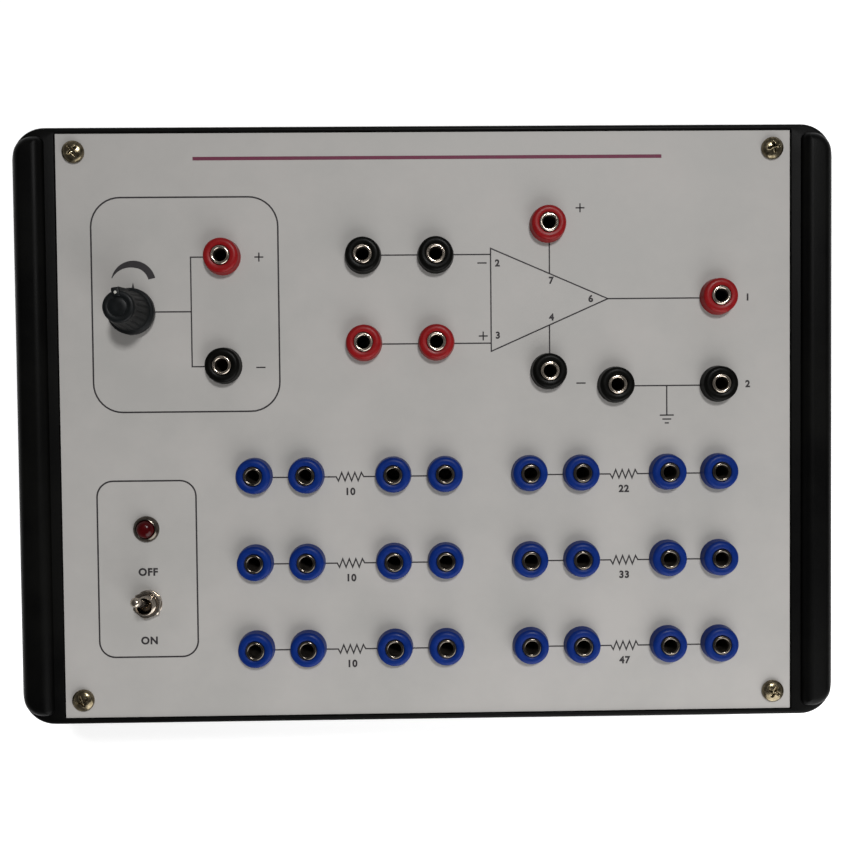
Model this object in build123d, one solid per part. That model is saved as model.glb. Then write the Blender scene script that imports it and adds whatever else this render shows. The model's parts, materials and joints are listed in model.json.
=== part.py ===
from build123d import *
import os
from math import cos, pi, radians, sin

os.makedirs("parts", exist_ok=True)

# Bench trainer for one operational amplifier, in millimetres.
# X runs to the right along the front, Y away from the user, Z up.
# The origin is on the table, under the middle of the case.
# Small repeated rounds and hidden holes have flat sides, so that the many pieces stay light.

# Moulded case: a base tray, and a frame that carries the panel between two raised cheeks
case_width = 255.4
case_depth = 186.0
case_corner_radius = 10.0
case_edge_chamfer = 1.2
case_wall = 3.0
foot_height = 6.0
base_height = 26.0
frame_height = 36.0
fit_gap = 0.15

# Front panel, let into the frame
panel_side_margin = 13.4
panel_end_margin = 2.0
panel_thickness = 2.5
panel_gap = 0.3
lip_above_panel = 0.5
ledge_width = 6.0
deck_thickness = 3.0
cheek_groove = 2.5
cheek_rise = 3.0
cheek_outer_inset = 0.8
cheek_end_inset = 6.5
cheek_edge_chamfer = 1.8
cheek_hollow_width = 4.0

# Four long screws clamp panel, frame and base together
screw_radius = 1.75
screw_clearance = 0.15
screw_head_radius = 3.45
screw_head_height = 2.0
screw_crown_radius = 2.4
screw_inset = 5.6
screw_bite = 14.0
pillar_size = 8.0
ledge_corner_size = 12.0

# Rubber feet
foot_size = 16.0
foot_tread_size = 14.0
foot_inset_x = 22.0
foot_inset_y = 22.0

# Sockets for 4 mm plugs
bore_radius = 2.0
barrel_flats = 5.8
barrel_hole_gap = 0.1
cap_base_radius = 5.75
cap_top_radius = 5.4
cap_height = 4.0
cap_sides = 18
rim_proud = 0.3
plug_depth = 20.0
barrel_floor = 1.6

# Places of the sockets on the panel, from its middle
first_column_x = -54.2
first_row_y = -15.5
row_pitch = 27.15
row_count = 3
pair_pitch = 16.2
resistor_gap = 27.2
bank_pitch = 86.15
amplifier_axis_y = 39.3
input_spread = 13.55
input_outer_x = -19.5
input_pitch = 22.6
rail_x = 38.2
rail_spread = 22.9
ground_x = 59.2
ground_y = 12.0
supply_x = -63.2
supply_plus_y = 52.8
supply_minus_y = 19.0

# Links and resistors behind the panel
wire_size = 0.8
wire_drop = 4.0
resistor_width = 2.6
resistor_length = 6.8
resistor_lead = 0.6

# Rotary control, placed from the panel's left edge
control_from_left = 23.1
control_y = 35.9
knob_gap = 0.8
knob_height = 14.0
knob_skirt_radius = 7.2
knob_skirt_height = 2.6
knob_body_radius = 6.2
knob_top_radius = 4.7
knob_flutes = 18
knob_flute_depth = 0.5
knob_roof = 1.6
pointer_width = 2.6
pointer_foot_reach = 6.7
pointer_top_reach = 5.8
pointer_proud = 0.4
pointer_turn = 8.0
dot_size = 1.4
dot_depth = 0.3
dot_reach = 4.2
running_gap = 0.05
moving_gap = 0.4
shaft_radius = 3.0
neck_radius = 3.5
neck_rise = 4.5
control_nut_flats = 9.0
control_nut_height = 2.0
housing_width = 16.0
housing_length = 17.0
housing_depth = 8.0
shaft_seat_depth = 5.0
tag_width = 1.6
tag_thickness = 0.6
tag_length = 6.0
tag_pitch = 5.0

# Mains switch with a bat lever, placed from the panel's left edge
switch_from_left = 26.4
switch_y = -55.2
lever_tilt = 15.0
lever_length = 12.6
lever_tip_radius = 1.5
lever_neck_radius = 1.05
lever_ball_radius = 2.1
lever_ball_height = 2.4
lever_tail = 7.0
lever_tail_size = 1.2
pivot_rise = 2.6
pivot_pin_radius = 0.6
switch_neck_radius = 3.0
switch_neck_rise = 5.2
switch_nut_flats = 8.0
switch_nut_height = 2.0
switch_washer_radius = 4.3
switch_washer_height = 0.4
switch_body_width = 8.0
switch_body_length = 13.0
switch_body_depth = 9.5
switch_slot_length = 7.4
switch_slot_width = 2.6
switch_slot_depth = 5.0
switch_tag_pitch = 4.7

# Lamp in a plated bezel, placed from the panel's left edge
lamp_from_left = 26.1
lamp_y = -31.8
bezel_radius = 4.1
bezel_crown_radius = 3.3
bezel_rise = 1.6
bezel_flats = 6.4
bezel_depth = 7.0
lens_radius = 2.5
lens_crown_radius = 1.3
lens_rise = 3.2
lens_crown = 1.3
lens_depth = 6.0
lamp_nut_flats = 9.0
lamp_nut_height = 2.0
lead_size = 0.5
lead_length = 12.0
lead_pitch = 2.5

# Cord entry in the back of the base, placed from the case's left end
cord_from_left = 43.0
cord_z = 19.0
cord_bore_radius = 3.2
bush_waist = 10.0
bush_flange_size = 14.0
bush_flange = 1.8

# Mains transformer on the floor of the base, placed from the case's left end
transformer_from_left = 65.0
transformer_y = 18.0
core_width = 41.0
core_height = 34.5
core_thickness = 16.0
core_leg = 13.6
core_yoke = 6.8
former_wall = 0.9
former_overhang = 7.0
winding_inset = 1.2
winding_corner = 4.0
strap_thickness = 0.9
ear_length = 9.5
ear_width = 12.0
boss_height = 3.0
boss_size = 9.0
bolt_flats = 3.0
bolt_head_flats = 6.0
bolt_head_height = 1.8
bolt_bite = 4.0
vent_count = 5
vent_width = 2.4
vent_length = 34.0
vent_pitch = 7.0

# Circuit board, held by four moulded clips
board_x = 40.0
board_y = -6.0
board_width = 100.0
board_depth = 72.0
board_thickness = 1.6
board_rise = 7.0
clip_width = 6.0
clip_thickness = 2.0
clip_shelf = 2.0
clip_hook = 1.0
clip_inset = 24.0
capacitor_radius = 6.5
capacitor_height = 21.0
capacitor_pitch = 17.0
capacitor_x = -34.0
capacitor_y = 22.0
rectifier_size = 9.0
rectifier_height = 6.5
rectifier_x = -34.0
rectifier_y = -2.0
regulator_width = 10.0
regulator_body = 4.4
regulator_height = 9.0
regulator_tab = 1.3
regulator_tab_height = 15.5
regulator_leg = 0.9
regulator_leg_length = 4.0
regulator_pitch = 14.0
regulator_count = 2
regulator_x = 4.0
regulator_y = 22.0
sink_thickness = 2.0
sink_fin = 9.0
sink_fins = 5
sink_margin = 2.0
chip_length = 9.6
chip_width = 6.4
chip_height = 3.3
chip_socket_height = 4.2
chip_socket_margin = 0.8
chip_pins_a_side = 4
chip_pin_pitch = 2.54
chip_row_pitch = 7.62
chip_pin_size = 0.5
chip_x = 20.0
chip_y = -10.0
fuse_radius = 2.6
fuse_length = 20.0
fuse_rise = 5.0
fuse_x = -26.0
fuse_y = -24.0
fuse_clip_width = 4.0
fuse_clip_wall = 0.5
terminal_length = 30.0
terminal_depth = 9.0
terminal_height = 10.0
terminal_bevel = 3.0
terminal_ways = 6
terminal_entry = 2.8
terminal_x = 24.0
terminal_y = -29.0

# Levels above the table
base_floor = foot_height + case_wall
seam = foot_height + base_height
lip = seam + frame_height
panel_top = lip - lip_above_panel
panel_back = panel_top - panel_thickness
deck_back = panel_back - deck_thickness
board_under = base_floor + board_rise
board_top = board_under + board_thickness
rim_top = panel_top + cap_height + rim_proud
barrel_end = rim_top - plug_depth - barrel_floor
wire_level = barrel_end + wire_drop
knob_bottom = panel_top + knob_gap
knob_top = knob_bottom + knob_height
pivot_level = panel_top + pivot_rise
boss_top = base_floor + boss_height
core_bottom = boss_top + strap_thickness

# Places that follow from the sizes
half_width = case_width / 2
half_depth = case_depth / 2
panel_width = case_width - 2 * panel_side_margin
panel_depth = case_depth - 2 * panel_end_margin
cheek_width = panel_side_margin - panel_gap - cheek_groove - cheek_outer_inset
screw_x = panel_width / 2 - screw_inset
screw_y = panel_depth / 2 - screw_inset
control_x = control_from_left - panel_width / 2
switch_x = switch_from_left - panel_width / 2
lamp_x = lamp_from_left - panel_width / 2
cord_x = cord_from_left - half_width
transformer_x = transformer_from_left - half_width
left_bank = first_column_x
right_bank = first_column_x + bank_pitch
last_column_x = right_bank + 2 * pair_pitch + resistor_gap
input_inner_x = input_outer_x + input_pitch
input_top_y = amplifier_axis_y + input_spread
input_bottom_y = amplifier_axis_y - input_spread
bolt_reach = core_width / 2 + strap_thickness + ear_length / 2
former_width = core_width - 2 * core_yoke - 2 * fit_gap
former_sleeve = core_leg + 2 * (fit_gap + former_wall)
former_sleeve_depth = core_thickness + 2 * (fit_gap + former_wall)
former_low = core_yoke + fit_gap
former_high = core_height - core_yoke - fit_gap


def save(shape, node):
    export_step(shape, f"parts/{node}.step")


def group(solids):
    return Compound(list(solids))


def prism(outline, low, high, x=0.0, y=0.0):
    """Upright solid of a flat outline, between two levels."""
    return Pos(x, y, low) * extrude(outline, high - low)


def rod(radius, low, high, x=0.0, y=0.0):
    return prism(Circle(radius), low, high, x, y)


def block(width, depth, low, high, x=0.0, y=0.0):
    return prism(Rectangle(width, depth), low, high, x, y)


def circle_points(radius, sides):
    angles = [2 * pi * step / sides for step in range(sides)]
    return [(radius * cos(angle), radius * sin(angle)) for angle in angles]


def tapered(points, share, low, high):
    """Upright solid of an outline that ends at a share of its size; all its faces are flat."""
    bottom = [(x, y, low) for x, y in points]
    top = [(share * x, share * y, high) for x, y in points]
    outlines = [bottom, top]
    for here in range(len(points)):
        outlines.append([bottom[here - 1], bottom[here], top[here], top[here - 1]])
    faces = [Face(Wire.make_polygon([Vector(*point) for point in outline])) for outline in outlines]
    return Solid(Shell(faces))


def hexagon(flats):
    """Hexagon of a given width across flats, two of its flats square to X."""
    return RegularPolygon(flats / 2, 6, major_radius=False, rotation=30)


def hollow(radius):
    """Twelve-sided outline that just clears a circle: for hidden holes."""
    return RegularPolygon(radius, 12, major_radius=False)


def stadium(width, length):
    """Outline along Y with a round end of eight sides at each end."""
    radius = width / 2
    middle = length / 2 - radius
    points = []
    for step in range(9):
        angle = pi * step / 8
        points.append((radius * cos(angle), middle + radius * sin(angle)))
    points += [(-x, -y) for x, y in points]
    return make_face(Polyline(points, close=True))


def corners(x, y):
    return [(sx * x, sy * y) for sx in (-1, 1) for sy in (-1, 1)]


def bank_columns(left):
    """X of the four sockets of a row: two pairs, with the resistor between them."""
    second_pair = left + pair_pitch + resistor_gap
    return [left, left + pair_pitch, second_pair, second_pair + pair_pitch]


def bank_rows():
    return [first_row_y - row * row_pitch for row in range(row_count)]


def bank_places(left):
    return [(x, y) for y in bank_rows() for x in bank_columns(left)]


red_places = [
    (supply_x, supply_plus_y),
    (input_outer_x, input_bottom_y),
    (input_inner_x, input_bottom_y),
    (rail_x, amplifier_axis_y + rail_spread),
    (last_column_x, amplifier_axis_y),
]
black_places = [
    (supply_x, supply_minus_y),
    (input_outer_x, input_top_y),
    (input_inner_x, input_top_y),
    (rail_x, amplifier_axis_y - rail_spread),
    (ground_x, ground_y),
    (last_column_x, ground_y),
]
blue_places = bank_places(left_bank) + bank_places(right_bank)
all_places = red_places + black_places + blue_places


def case_outline(low, high, inset=0.0):
    """The case's plan, drawn in from its outside by the inset."""
    width = case_width - 2 * inset
    depth = case_depth - 2 * inset
    return prism(RectangleRounded(width, depth, case_corner_radius - inset), low, high)


def screw_hole():
    return hexagon(2 * (screw_radius + screw_clearance) * cos(pi / 6))


def case_base():
    """Tray with the pillars for the long screws, and the seats of what stands on its floor."""
    tray = case_outline(foot_height, seam)
    tray = chamfer(tray.faces().sort_by(Axis.Z)[0].edges(), case_edge_chamfer)
    tray -= case_outline(base_floor, seam, case_wall)
    for x, y in corners(screw_x, screw_y):
        pillar = block(pillar_size, pillar_size, base_floor, deck_back, x, y)
        tray += pillar - prism(screw_hole(), deck_back - screw_bite, deck_back, x, y)
    for side in (-1, 1):
        x = transformer_x + side * bolt_reach
        tray += block(boss_size, boss_size, base_floor, boss_top, x, transformer_y)
        pilot = hexagon(bolt_flats + 2 * screw_clearance)
        tray -= prism(pilot, boss_top - bolt_bite, boss_top, x, transformer_y)
    for number in range(vent_count):
        y = transformer_y + (number - (vent_count - 1) / 2) * vent_pitch
        tray -= block(vent_length, vent_width, foot_height, base_floor, transformer_x, y)
    for size, depth in ((bush_flange_size, bush_flange), (bush_waist, case_wall)):
        room = size + 2 * fit_gap
        tray -= Pos(cord_x, half_depth, cord_z) * Box(room, 2 * depth, room)
    for x, y, turn in clip_places():
        tray += Pos(x, y, base_floor) * Rot(0, 0, turn) * board_clip()
    return tray


def board_clip():
    """Post with a shelf under the board's edge and a hook over it."""
    top = board_rise + board_thickness + fit_gap
    profile = Polyline(
        (-clip_shelf, 0),
        (clip_thickness, 0),
        (clip_thickness, top + 2 * clip_hook),
        (fit_gap, top + 2 * clip_hook),
        (-clip_hook, top),
        (fit_gap, top),
        (fit_gap, board_rise),
        (-clip_shelf, board_rise),
        close=True,
    )
    return extrude(Plane.YZ.offset(-clip_width / 2) * make_face(profile), clip_width)


def clip_places():
    """Two clips on each long edge of the board: (x, y, turn)."""
    along = board_width / 2 - clip_inset
    return [
        (board_x + x, board_y + side * board_depth / 2, 90 - 90 * side)
        for side in (-1, 1)
        for x in (-along, along)
    ]


def case_frame():
    """Upper moulding: walls, the ledge under the panel and the hollow cheeks beside it."""
    frame = case_outline(seam, lip)
    frame = chamfer(frame.faces().sort_by(Axis.Z)[-1].edges(), case_edge_chamfer)
    cheek_x = half_width - cheek_outer_inset - cheek_width / 2
    cheek_depth = case_depth - 2 * cheek_end_inset
    cheek_top = lip + cheek_rise
    for side in (-1, 1):
        cheek = prism(stadium(cheek_width, cheek_depth), deck_back, cheek_top)
        cheek = chamfer(cheek.faces().sort_by(Axis.Z)[-1].edges(), cheek_edge_chamfer)
        frame += Pos(side * cheek_x, 0, 0) * cheek
    frame -= case_outline(seam, deck_back, case_wall)
    for side in (-1, 1):
        length = cheek_depth - 2 * cheek_width
        top = cheek_top - case_wall
        frame -= block(cheek_hollow_width, length, deck_back, top, side * cheek_x)
    frame -= block(panel_width + 2 * panel_gap, panel_depth + 2 * panel_gap, panel_back, lip)
    frame -= prism(window(), deck_back, panel_back)
    for x, y in corners(screw_x, screw_y):
        frame -= prism(screw_hole(), deck_back, panel_back, x, y)
    return frame


def window():
    """Opening under the panel, with a square pad left in each corner for the screw."""
    opening = Rectangle(panel_width - 2 * ledge_width, panel_depth - 2 * ledge_width)
    pad_x = (panel_width - ledge_corner_size) / 2
    pad_y = (panel_depth - ledge_corner_size) / 2
    for x, y in corners(pad_x, pad_y):
        opening -= Pos(x, y) * Rectangle(ledge_corner_size, ledge_corner_size)
    return opening


def front_panel():
    barrel_hole = hexagon(barrel_flats + 2 * barrel_hole_gap)
    holes = [Pos(x, y) * barrel_hole for x, y in all_places]
    holes += [Pos(x, y) * screw_hole() for x, y in corners(screw_x, screw_y)]
    holes.append(Pos(control_x, control_y) * hollow(neck_radius + fit_gap))
    holes.append(Pos(switch_x, switch_y) * hollow(switch_neck_radius + fit_gap))
    holes.append(Pos(lamp_x, lamp_y) * hexagon(bezel_flats + 2 * fit_gap))
    return prism(Rectangle(panel_width, panel_depth) - holes, panel_back, panel_top)


def panel_screws():
    """Long screws with crowned heads; the threads are left off."""
    tip = deck_back - screw_bite + 1.0
    head_top = panel_top + screw_head_height
    rim = circle_points(screw_head_radius, 12)
    screw = tapered(rim, screw_crown_radius / screw_head_radius, panel_top, head_top)
    screw += prism(hexagon(2 * screw_radius * cos(pi / 6)), tip, panel_top)
    return group(Pos(x, y, 0) * screw for x, y in corners(screw_x, screw_y))


def rubber_feet():
    tread = Rectangle(foot_tread_size, foot_tread_size)
    top = Pos(0, 0, foot_height) * Rectangle(foot_size, foot_size)
    foot = loft([tread, top], ruled=True)
    places = corners(half_width - foot_inset_x, half_depth - foot_inset_y)
    return group(Pos(x, y, 0) * foot for x, y in places)


def socket_caps(places):
    """Moulded caps, drafted towards the top and pressed on to the barrels."""
    top = panel_top + cap_height
    rim = circle_points(cap_base_radius, cap_sides)
    cap = tapered(rim, cap_top_radius / cap_base_radius, panel_top, top)
    cap -= prism(hexagon(barrel_flats + 2 * barrel_hole_gap), panel_top, top)
    return group(Pos(x, y, 0) * cap for x, y in places)


def socket_barrels():
    """Plated hexagon bars with a 4 mm bore, closed at the lower end."""
    barrel = prism(hexagon(barrel_flats), barrel_end, rim_top)
    barrel -= rod(bore_radius, barrel_end + barrel_floor, rim_top)
    return group(Pos(x, y, 0) * barrel for x, y in all_places)


def link(left, right, y):
    """Bare wire between two neighbouring barrels, from flat to flat."""
    length = right - left - barrel_flats
    middle = (left + right) / 2
    return block(length, wire_size, wire_level - wire_size / 2, wire_level + wire_size / 2, middle, y)


def link_wires():
    wires = [
        link(input_outer_x, input_inner_x, input_top_y),
        link(input_outer_x, input_inner_x, input_bottom_y),
        link(ground_x, last_column_x, ground_y),
    ]
    for left in (left_bank, right_bank):
        a, b, c, d = bank_columns(left)
        for y in bank_rows():
            wires.append(link(a, b, y))
            wires.append(link(c, d, y))
    return group(wires)


def resistors(left):
    """Axial resistors along X, their leads ending on the flats of two barrels."""
    body = Rot(0, 90, 0) * prism(hexagon(resistor_width), -resistor_length / 2, resistor_length / 2)
    one = body + Box(resistor_gap - barrel_flats, resistor_lead, resistor_lead)
    middle = left + pair_pitch + resistor_gap / 2
    return group(Pos(middle, y, wire_level) * one for y in bank_rows())


def flute_points():
    """Outline of the knob: ridges at its radius, with shallow grooves between them."""
    points = []
    for step in range(2 * knob_flutes):
        reach = knob_body_radius - knob_flute_depth * (step % 2)
        angle = pi * step / knob_flutes
        points.append((reach * cos(angle), reach * sin(angle)))
    return points


def on_control(shape):
    return Pos(control_x, control_y, 0) * shape


def control_knob():
    """Fluted knob with a skirt and a raised pointer, hollow below for the nut and the neck."""
    skirt_top = knob_bottom + knob_skirt_height
    pointer_top = knob_top + pointer_proud
    knob = prism(RegularPolygon(knob_skirt_radius, 2 * knob_flutes), knob_bottom, skirt_top)
    knob += tapered(flute_points(), knob_top_radius / knob_body_radius, skirt_top, knob_top)
    fin = Polyline(
        (0, skirt_top),
        (pointer_foot_reach, skirt_top),
        (pointer_top_reach, pointer_top),
        (0, pointer_top),
        close=True,
    )
    knob += extrude(Plane.YZ.offset(-pointer_width / 2) * make_face(fin), pointer_width)
    nut_corner = control_nut_flats / (2 * cos(pi / 6))
    nut_room = panel_top + control_nut_height + moving_gap
    neck_room = panel_top + neck_rise + moving_gap
    knob -= prism(hollow(nut_corner + moving_gap), knob_bottom, nut_room)
    knob -= prism(hollow(neck_radius + moving_gap), nut_room, neck_room)
    knob -= rod(shaft_radius + running_gap, neck_room, knob_top - knob_roof)
    recess = Rectangle(dot_size + 0.04, dot_size + 0.04)
    knob -= Pos(0, dot_reach, 0) * prism(recess, pointer_top - dot_depth, pointer_top)
    return on_control(Rot(0, 0, pointer_turn) * knob)


def knob_dot():
    """White inlay on the pointer."""
    top = knob_top + pointer_proud
    dot = block(dot_size, dot_size, top - dot_depth, top, 0, dot_reach)
    return on_control(Rot(0, 0, pointer_turn) * dot)


def control_shaft():
    top = knob_top - knob_roof - running_gap
    return on_control(rod(shaft_radius, panel_back - shaft_seat_depth + running_gap, top))


def control_body():
    """Sealed potentiometer: moulded housing behind the panel, and the neck that the shaft turns in."""
    body = block(housing_width, housing_length, panel_back - housing_depth, panel_back)
    body += prism(RegularPolygon(neck_radius, 12), panel_back, panel_top + neck_rise)
    body -= rod(shaft_radius + running_gap, panel_back - shaft_seat_depth, panel_top + neck_rise)
    return on_control(body)


def nut(flats, hole_radius, low, high, x, y):
    outline = hexagon(flats) - hollow(hole_radius + running_gap)
    return prism(outline, low, high, x, y)


def control_nut():
    top = panel_top + control_nut_height
    return nut(control_nut_flats, neck_radius, panel_top, top, control_x, control_y)


def control_tags():
    """Three solder tags on the side of the housing that faces the middle of the case."""
    level = panel_back - housing_depth / 2
    x = control_x + housing_width / 2 + tag_length / 2
    return group(
        block(tag_length, tag_width, level, level + tag_thickness, x, control_y + number * tag_pitch)
        for number in (-1, 0, 1)
    )


def at_pivot(shape):
    return Pos(switch_x, switch_y, pivot_level) * shape


def switch_pin():
    """Round pin across the neck, on which the lever turns."""
    reach = switch_neck_radius * cos(pi / 12)
    return at_pivot(Rot(0, 90, 0) * rod(pivot_pin_radius, -reach, reach))


def switch_lever():
    """Bat lever with its pivot, and the tail that works the contacts; tilted to off."""
    half_ball = lever_ball_height / 2
    lever = prism(RegularPolygon(lever_ball_radius, 12), -half_ball, half_ball)
    bat = circle_points(lever_neck_radius, 12)
    lever += tapered(bat, lever_tip_radius / lever_neck_radius, half_ball, lever_length)
    lever += block(lever_tail_size, lever_tail_size, -lever_tail, -half_ball)
    hole_radius = pivot_pin_radius + running_gap
    lever -= Rot(0, 90, 0) * rod(hole_radius, -lever_ball_radius, lever_ball_radius)
    return at_pivot(Rot(-lever_tilt, 0, 0) * lever)


def lever_room():
    """Radius that the tilted pivot sweeps inside the neck."""
    tilt = radians(lever_tilt)
    return lever_ball_radius * cos(tilt) + lever_ball_height / 2 * sin(tilt) + running_gap


def switch_neck():
    """Neck that the lever stands in, with a hole on each side for the pin."""
    outline = RegularPolygon(switch_neck_radius, 12) - hollow(lever_room())
    neck = prism(outline, panel_back, panel_top + switch_neck_rise, switch_x, switch_y)
    pin_hole = prism(hollow(pivot_pin_radius), -switch_neck_radius, switch_neck_radius)
    return neck - at_pivot(Rot(0, 90, 0) * pin_hole)


def switch_washer():
    ring = RegularPolygon(switch_washer_radius, cap_sides) - hollow(switch_neck_radius + running_gap)
    return prism(ring, panel_top, panel_top + switch_washer_height, switch_x, switch_y)


def switch_nut():
    low = panel_top + switch_washer_height
    return nut(switch_nut_flats, switch_neck_radius, low, low + switch_nut_height, switch_x, switch_y)


def switch_body():
    bottom = panel_back - switch_body_depth
    slot_bottom = panel_back - switch_slot_depth
    body = block(switch_body_width, switch_body_length, bottom, panel_back)
    body -= block(switch_slot_width, switch_slot_length, slot_bottom, panel_back)
    return Pos(switch_x, switch_y, 0) * body


def switch_tags():
    top = panel_back - switch_body_depth
    tag = block(2 * tag_width, tag_thickness, top - tag_length, top, switch_x, switch_y)
    return group(Pos(0, number * switch_tag_pitch, 0) * tag for number in (-1, 0, 1))


def lamp_bezel():
    """Bevelled flange on a hexagon tube, bored for the lamp."""
    flange_top = panel_top + bezel_rise
    rim = circle_points(bezel_radius, cap_sides)
    bezel = tapered(rim, bezel_crown_radius / bezel_radius, panel_top, flange_top)
    bezel += prism(hexagon(bezel_flats), panel_back - bezel_depth, panel_top)
    bore = RegularPolygon(lens_radius + fit_gap, cap_sides)
    bezel -= prism(bore, panel_back - bezel_depth, flange_top)
    return Pos(lamp_x, lamp_y, 0) * bezel


def lamp_lens():
    top = panel_top + lens_rise
    shoulder = top - lens_crown
    rim = circle_points(lens_radius, cap_sides)
    lens = tapered(rim, 1, panel_back - lens_depth, shoulder)
    lens += tapered(rim, lens_crown_radius / lens_radius, shoulder, top)
    return Pos(lamp_x, lamp_y, 0) * lens


def lamp_nut():
    outline = hexagon(lamp_nut_flats) - hexagon(bezel_flats + 2 * running_gap)
    return prism(outline, panel_back - lamp_nut_height, panel_back, lamp_x, lamp_y)


def lamp_leads():
    top = panel_back - lens_depth
    return group(
        block(lead_size, lead_size, top - lead_length, top, lamp_x + side * lead_pitch / 2, lamp_y)
        for side in (-1, 1)
    )


def cord_bush():
    """Rubber bush in the back wall, flush outside and open for a mains cord."""
    end = case_wall + bush_flange
    bush = block(bush_flange_size, bush_flange_size, 0, bush_flange)
    bush += block(bush_waist, bush_waist, bush_flange, case_wall)
    bush += block(bush_flange_size, bush_flange_size, case_wall, end)
    bush -= rod(cord_bore_radius, 0, end)
    return Pos(cord_x, half_depth, cord_z) * Rot(90, 0, 0) * bush


def at_transformer(shape):
    return Pos(transformer_x, transformer_y, core_bottom) * shape


def transformer_core():
    """Laminated stack: an outer frame with a middle leg, and a window on each side of the leg."""
    stack = block(core_width, core_thickness, 0, core_height)
    side = (core_width - core_leg - 2 * core_yoke) / 2
    for direction in (-1, 1):
        x = direction * (core_leg + side) / 2
        stack -= block(side, core_thickness, core_yoke, core_height - core_yoke, x)
    return at_transformer(stack)


def transformer_former():
    """Moulded former on the middle leg, with a flange at each end of the winding."""
    depth = core_thickness + 2 * former_overhang
    former = block(former_width, depth, former_low, former_low + former_wall)
    former += block(former_width, depth, former_high - former_wall, former_high)
    former += block(former_sleeve, former_sleeve_depth, former_low, former_high)
    leg_width = core_leg + 2 * fit_gap
    former -= block(leg_width, core_thickness + 2 * fit_gap, former_low, former_high)
    return at_transformer(former)


def transformer_winding():
    """Taped winding between the flanges of the former."""
    width = former_width - winding_inset
    depth = core_thickness + 2 * (former_overhang - winding_inset)
    outline = Rectangle(width, depth)
    outline = chamfer(outline.vertices(), winding_corner)
    outline -= Rectangle(former_sleeve, former_sleeve_depth)
    return at_transformer(prism(outline, former_low + former_wall, former_high - former_wall))


def transformer_strap():
    """Folded steel strap over the stack, with an ear on each side for its bolt."""
    inner = core_width / 2
    outer = inner + strap_thickness
    ear_end = outer + ear_length
    top = core_height + strap_thickness
    half = [(inner, -strap_thickness), (ear_end, -strap_thickness), (ear_end, 0), (outer, 0), (outer, top)]
    mirrored = [(-x, z) for x, z in reversed(half)]
    inside = [(-inner, core_height), (inner, core_height)]
    profile = make_face(Polyline(half + mirrored + inside, close=True))
    strap = extrude(Plane.XZ.offset(-ear_width / 2) * profile, ear_width)
    hole = hexagon(bolt_flats + 2 * screw_clearance)
    for side in (-1, 1):
        strap -= prism(hole, -strap_thickness, 0, side * bolt_reach)
    return at_transformer(strap)


def transformer_bolts():
    bolt = prism(hexagon(bolt_flats), boss_top - bolt_bite + 0.5, core_bottom)
    bolt += prism(hexagon(bolt_head_flats), core_bottom, core_bottom + bolt_head_height)
    return group(Pos(transformer_x + side * bolt_reach, transformer_y, 0) * bolt for side in (-1, 1))


def on_board(shape, x, y):
    return Pos(board_x + x, board_y + y, board_top) * shape


def circuit_board():
    return block(board_width, board_depth, board_under, board_top, board_x, board_y)


def filter_capacitors():
    can = prism(hollow(capacitor_radius), 0, capacitor_height)
    return group(
        on_board(can, capacitor_x + number * capacitor_pitch, capacitor_y) for number in (0, 1)
    )


def bridge_rectifier():
    return on_board(block(rectifier_size, rectifier_size, 0, rectifier_height), rectifier_x, rectifier_y)


def regulator_places():
    return [regulator_x + number * regulator_pitch for number in range(regulator_count)]


def voltage_regulators():
    """Upright three-leg regulators: a moulded body against its metal tab."""
    low = regulator_leg_length
    body = block(regulator_width, regulator_body - regulator_tab, low, low + regulator_height)
    body += block(regulator_width, regulator_tab, low, low + regulator_tab_height, 0, regulator_body / 2)
    for number in (-1, 0, 1):
        body += block(regulator_leg, regulator_leg, 0, low, number * chip_pin_pitch)
    return group(on_board(body, x, regulator_y) for x in regulator_places())


def heat_sink():
    """Upright plate behind the regulators' tabs, with fins standing out at its back."""
    places = regulator_places()
    middle = (places[0] + places[-1]) / 2
    length = places[-1] - places[0] + regulator_width + 2 * sink_margin
    height = regulator_leg_length + regulator_tab_height
    sink = block(length, sink_thickness, 0, height, 0, sink_thickness / 2)
    pitch = (length - sink_thickness) / (sink_fins - 1)
    for number in range(sink_fins):
        x = (number - (sink_fins - 1) / 2) * pitch
        sink += block(sink_thickness, sink_fin, 0, height, x, sink_fin / 2)
    back_of_tab = regulator_y + (regulator_body + regulator_tab) / 2
    return on_board(sink, middle, back_of_tab)


def chip_socket():
    length = chip_length + 2 * chip_socket_margin
    width = chip_row_pitch + 2 * chip_socket_margin
    return on_board(block(length, width, 0, chip_socket_height), chip_x, chip_y)


def amplifier_chip():
    """Eight-pin amplifier, its pins lying across the top of its socket."""
    low = chip_socket_height + chip_pin_size
    chip = block(chip_length, chip_width, low, low + chip_height)
    for column in range(chip_pins_a_side):
        x = (column - (chip_pins_a_side - 1) / 2) * chip_pin_pitch
        chip += block(chip_pin_size, chip_row_pitch, chip_socket_height, low, x)
    return on_board(chip, chip_x, chip_y)


def mains_fuse():
    tube = Rot(0, 90, 0) * prism(hollow(fuse_radius), -fuse_length / 2, fuse_length / 2)
    return on_board(Pos(0, 0, fuse_rise) * tube, fuse_x, fuse_y)


def fuse_clips():
    """Two sprung clips that hold the fuse's ends from both sides."""
    wall = fuse_radius + fit_gap
    outer = wall + fuse_clip_wall
    rim = fuse_rise + fuse_radius
    half = [(outer, 0), (outer, rim), (wall, rim), (wall, fuse_rise - wall)]
    mirrored = [(-x, z) for x, z in reversed(half)]
    profile = make_face(Polyline(half + mirrored, close=True))
    clip = extrude(Plane.YZ.offset(-fuse_clip_width / 2) * profile, fuse_clip_width)
    reach = (fuse_length - fuse_clip_width) / 2
    return group(on_board(clip, fuse_x + side * reach, fuse_y) for side in (-1, 1))


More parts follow.
